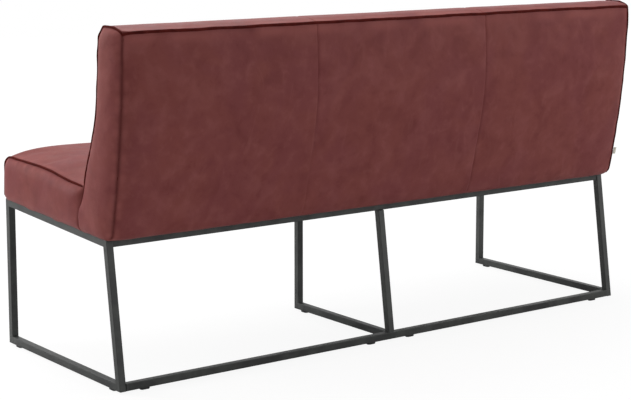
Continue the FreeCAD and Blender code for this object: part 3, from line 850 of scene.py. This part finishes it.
def panels(shape):
    outline = Outline(shape)
    body = softBody(shape, outline)
    bm = bmesh.new()
    bm.from_mesh(body.data)
    cutSeams(bm)
    bm.to_mesh(body.data)
    bm.free()
    shapeSeams(body.data, shape, outline)
    count = len(body.data.polygons)
    flat = np.empty(count * 3)
    body.data.polygons.foreach_get("center", flat)
    centre = flat.reshape(-1, 3)
    x = centre[:, 0]
    faceGaps = outline.measure(centre)[1]
    names = sorted(faceGaps)
    labels = np.array(names)[np.argmin(np.stack([faceGaps[n] for n in names]), axis=0)]
    shown = np.min([faceGaps[label] for label in shape["rolled"]], axis=0)
    atEnd = np.abs(x) > bench["endSeam"] - 0.0015
    wanted = (shown < 0.03) | (np.abs(x) > bench["endSeam"] - 0.03)
    wanted &= ~atEnd
    sections = {
        "right": x < -bench["crossSeam"],
        "middle": np.abs(x) <= bench["crossSeam"],
        "left": x > bench["crossSeam"],
    }
    covers = {"seat_cover": np.ones(count, bool)}
    if shape is backShape:
        toRear = (labels == "rear") | (labels == "under")
        covers = {"back_rear_cover": toRear, "back_front_cover": ~toRear}
    for number, (side, inside) in enumerate(sections.items()):
        for offset, (cover, own) in enumerate(covers.items()):
            words = cover.split("_")
            name = words[0] + "".join(word.title() for word in words[1:]) + side.title()
            replaced = [f"{cover}_{side}"]
            if side == "middle":
                replaced.append(fillings[cover])
            panel(name, body, own & inside & wanted, 0.37 * number + 1.9 * offset + shape["hide"], replaced)
    for side, way in (("left", 1), ("right", -1)):
        name = f"{shape['name']}End{side.title()}"
        replaced = [f"{side}_{shape['name']}_end_panel"]
        panel(name, body, atEnd & (x * way > 0), shape["endHide"] + way, replaced)
    spots = [v.co for v in body.data.vertices]
    skin = BVHTree.FromPolygons(spots, [p.vertices[:] for p in body.data.polygons])
    bpy.data.objects.remove(body)
    print(shape["name"], "panels made")
    return outline, skin


seatOutline, seatSkin = panels(seatShape)
backOutline, backSkin = panels(backShape)

# welts in the end seams and along the rear top edge

weltLook = {
    "radius": 0.003,
    "uneven": 0.12,
    "sway": 0.0013,
    "step": 0.009,
    "rows": {  # width, stand over the skin
        "top": (1.0, 0.0009),
        "front": (1.0, 0.002),
        "rearLeft": (0.55, -0.0019),
        "rearRight": (0.8, 0.001),
    },
    "ridge": (1.28, 0.0009),
    "ridgePoints": 190,
    "tail": ((0.07, 0.95), (0.14, 0.85), (0.21, 0.7), (0.28, 0.5), (0.35, 0.3)),  # share of the way, width
    "tailStand": 0.0004,
}


def onSkin(skin, spot, out):
    # where a line from outside meets the upholstery
    spot = Vector(spot)
    out = Vector(out).normalized()
    hit = skin.ray_cast(spot + out * 0.06, -out, 0.12)[0]
    return hit or spot


def weltPiece(name, spots, widths, replaced):
    curve = bpy.data.curves.new(name, "CURVE")
    curve.dimensions = "3D"
    spline = curve.splines.new("POLY")
    spline.points.add(len(spots) - 1)
    for point, spot, width in zip(spline.points, spots, widths):
        point.co = (*spot, 1)
        point.radius = width * (1 + weltLook["uneven"] * noise.noise(Vector(spot) * 45))
    curve.bevel_depth = weltLook["radius"]
    curve.bevel_resolution = 3
    curve.use_fill_caps = True
    rope = bpy.data.objects.new(name, curve)
    scene.collection.objects.link(rope)
    bpy.context.view_layer.update()
    mesh = bpy.data.meshes.new_from_object(rope.evaluated_get(bpy.context.evaluated_depsgraph_get()))
    bpy.data.objects.remove(rope)
    piece = bpy.data.objects.new(name, mesh)
    scene.collection.objects.link(piece)
    mesh.polygons.foreach_set("use_smooth", [True] * len(mesh.polygons))
    mesh.materials.clear()
    mesh.materials.append(weltSkin)
    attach(piece, "root")
    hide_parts(replaced)


def evened(spots):
    # the line without the small jumps of the mesh under it
    line = np.array([tuple(spot) for spot in spots])
    for turn in range(3):
        line[1:-1] = (line[:-2] + 2 * line[1:-1] + line[2:]) / 4
    return [Vector(spot) for spot in line]


def rimPath(outline, faces):
    # points along the outline's named faces, in order
    keep = [i for i, label in enumerate(outline.labels) if label in faces]
    count = len(outline.labels)
    first = next(i for i in keep if (i - 1) % count not in keep)
    order = [(first + i) % count for i in range(len(keep))]
    path = []
    for i in order:
        steps = max(1, round(outline.length[i] / weltLook["step"]))
        for j in range(steps):
            path.append((outline.start[i] + outline.way[i] * j / steps, outline.out[i], outline.labels[i]))
    path.append((outline.start[i] + outline.way[i], outline.out[i], outline.labels[i]))
    return path


for side, way in (("left", 1), ("right", -1)):
    for shape, outline, skin in ((seatShape, seatOutline, seatSkin), (backShape, backOutline, backSkin)):
        spots = []
        widths = []
        for (y, z), out, label in rimPath(outline, shape["rolled"]):
            outward = Vector((way * (1.6 if label == "front" else 0.8), *out)).normalized()
            spot = onSkin(skin, (way * bench["endSeam"], y, z), outward)
            sway = weltLook["sway"] * noise.noise(Vector((way * 3, y, z)) * 26)
            width, stand = weltLook["rows"][label + side.title() if label == "rear" else label]
            spots.append(spot + outward * (stand + sway * (1.0 if label == "top" else 0.2)))
            widths.append(width)
        fromFoot = np.arange(len(widths))
        if shape is seatShape:
            fromFoot = fromFoot[::-1]
        widths = list(np.array(widths) * np.clip(fromFoot / 3, 0.3, 1))
        if shape is backShape:  # the front welt runs on into the crease beside the seat
            top = Vector(shape["corners"][-1][:2])
            foot = Vector(shape["corners"][0][:2])
            for share, width in weltLook["tail"]:
                y, z = top.lerp(foot, share)
                spot = onSkin(skin, (way * bench["endSeam"], y, z), (way, 0, 0))
                spots.append(spot + Vector((way * weltLook["tailStand"], 0, 0)))
                widths.append(width)
        weltPiece(f"{shape['name']}Welt{side.title()}", evened(spots), widths, f"{side}_{shape['name']}_welt")

width, stand = weltLook["ridge"]
y, z, radius = backShape["corners"][3]
outward = Vector((0, 1, 1)).normalized()
ridgeSpots = []
for x in np.linspace(-bench["endSeam"], bench["endSeam"], weltLook["ridgePoints"]):
    sway = weltLook["sway"] * noise.noise(Vector((x * 20, 4.1, 0)))
    ridgeSpots.append(onSkin(backSkin, (x, y, z), outward) + outward * (stand + sway))
weltPiece("backWeltTop", evened(ridgeSpots), [width] * len(ridgeSpots), "back_top_welt")
print("welts laid")

# lining under the seat: thin cloth, stapled flat at its edges and slack between the rails

liningLook = {
    "inset": 0.012,
    "slack": 0.0035,
    "ripple": 0.0008,
    "thick": 0.0006,
    "frontEdge": (-0.299, 0.384),  # of the rails' upper side
    "fall": 3,  # degrees to the rear
}
low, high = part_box("seat_lining")
sheetX = high.x - low.x - 2 * liningLook["inset"]
sheetY = high.y - low.y - 2 * liningLook["inset"]
fall = math.radians(liningLook["fall"])
edgeY, edgeZ = liningLook["frontEdge"]
bm = bmesh.new()
bmesh.ops.create_grid(bm, x_segments=150, y_segments=48, size=0.5)
for vert in bm.verts:
    x, y = vert.co.x, vert.co.y
    slack = max(0, math.cos(math.pi * y) * abs(math.sin(2 * math.pi * x))) ** 0.7
    ripple = noise.noise(Vector((x * 38, y * 11, 2.4))) * liningLook["ripple"]
    vert.co.x = (low.x + high.x) / 2 + x * sheetX
    vert.co.y = (low.y + high.y) / 2 + y * sheetY
    plane = edgeZ - math.tan(fall) * (vert.co.y - edgeY)
    vert.co.z = plane + liningLook["thick"] - slack * (liningLook["slack"] + ripple)
for face in bm.faces:
    face.smooth = True
lining = toObject("seatLining", bm)
shell = lining.modifiers.new("cloth", "SOLIDIFY")
shell.thickness = liningLook["thick"]
settled(lining)
lining.data.materials.append(liningSkin)
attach(lining, "root")
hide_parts("seat_lining")
print("lining stretched")

# blank tag folded into the rear end seam

tagLook = {
    "thick": 0.0007,
    "bow": 0.0016,
    "twist": 0.0012,
    "tuck": 0.0015,  # into the seam
    "shorter": 0.97,
}
low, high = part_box("side_tag")
tagX = high.x - low.x + 0.0005
tagZ = (high.z - low.z) * tagLook["shorter"]
footY, footZ, radius = backShape["corners"][1]
bendY, bendZ, radius = backShape["corners"][2]
lean = math.atan2(bendY - footY, bendZ - footZ)
bm = bmesh.new()
bmesh.ops.create_grid(bm, x_segments=10, y_segments=16, size=0.5)
for vert in bm.verts:
    u, v = vert.co.x + 0.5, vert.co.y
    bow = tagLook["bow"] * math.sin(math.pi * u) + tagLook["twist"] * u * u * v
    run = v * tagZ
    vert.co.x = high.x + tagLook["tuck"] - u * tagX
    vert.co.y = (low.y + high.y) / 2 + run * math.sin(lean) + bow
    vert.co.z = (low.z + high.z) / 2 + run * math.cos(lean)
for face in bm.faces:
    face.smooth = True
tag = toObject("sideTag", bm)
shell = tag.modifiers.new("cloth", "SOLIDIFY")
shell.thickness = tagLook["thick"]
shell.offset = 0
settled(tag)
tag.data.materials.append(tagSkin)
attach(tag, "root")
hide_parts("side_tag")
print("tag sewn in")

# floor and light

floorLook = {
    "half": 9.0,
    "colour": rgb(238, 238, 238),
    "paler": rgb(242, 242, 242),
    "glow": 1.05,
    "near": 0.86,  # share of plain white near the bench, so that a soft shadow stays
    "shadow": (0.5, 2.0),  # the shadow is whole within the first reach and gone by the second
}
bm = bmesh.new()
bmesh.ops.create_grid(bm, x_segments=1, y_segments=1, size=floorLook["half"])
floor = toObject("floor", bm)
f = Finish("paleFloor")
grit = f.cloud(f.place(), 30.0, 4.0)
pale = f.add("ShaderNodeBsdfPrincipled", {}, {
    "Base Color": f.blend(f.span(grit, 0.3, 0.7), floorLook["colour"], floorLook["paler"]),
    "Roughness": 0.9,
    "Specular IOR Level": 0.1,
})
bright = f.add("ShaderNodeEmission", {}, {"Color": (1, 1, 1), "Strength": floorLook["glow"]})
reach = f.add("ShaderNodeVectorMath", {"operation": "LENGTH"}, {0: f.place((0.85, 1, 0))}, out="Value")
lift = f.span(reach, *floorLook["shadow"], floorLook["near"], 1.0)
seen = f.add("ShaderNodeLightPath", out="Is Camera Ray")
seen = seen + f.add("ShaderNodeLightPath", out="Is Transmission Ray")
mixed = f.add("ShaderNodeMixShader", {}, {0: seen * lift, 1: pale, 2: bright})
f.add("ShaderNodeOutputMaterial", {}, {"Surface": mixed})
floor.data.materials.append(f.material)

studio = {"room": 0.32, "backdrop": 1.0}
world = bpy.data.worlds.new("studio")
scene.world = world
f = Finish("studio", world)
seen = f.add("ShaderNodeLightPath", out="Is Camera Ray")
for ray in ("Is Glossy Ray", "Is Transmission Ray"):
    seen = seen.larger(f.add("ShaderNodeLightPath", out=ray))
room = f.add("ShaderNodeBackground", {}, {"Color": (1, 1, 1), "Strength": studio["room"]})
white = f.add("ShaderNodeBackground", {}, {"Color": (1, 1, 1), "Strength": studio["backdrop"]})
mixed = f.add("ShaderNodeMixShader", {}, {0: seen, 1: room, 2: white})
f.add("ShaderNodeOutputWorld", {}, {"Surface": mixed})

lamps = [
    {"name": "softboxTop", "place": (0.1, -0.7, 2.4), "aim": (0, 0, 0.6), "size": 2.4, "power": 47},
    {"name": "softboxSide", "place": (2.7, -2.1, 1.65), "aim": (0.6, 0, 0.6), "size": 1.7, "power": 62},
    {"name": "softboxRear", "place": (-2.6, 3.0, 1.6), "aim": (-0.6, 0.2, 0.5), "size": 2.0, "power": 43},
]
for look in lamps:
    data = bpy.data.lights.new(look["name"], "AREA")
    data.size = look["size"]
    data.energy = look["power"]
    lamp = bpy.data.objects.new(look["name"], data)
    lamp.location = look["place"]
    lamp.rotation_euler = (Vector(look["aim"]) - lamp.location).to_track_quat("-Z", "Y").to_euler()
    scene.collection.objects.link(lamp)
print("floor and light set")
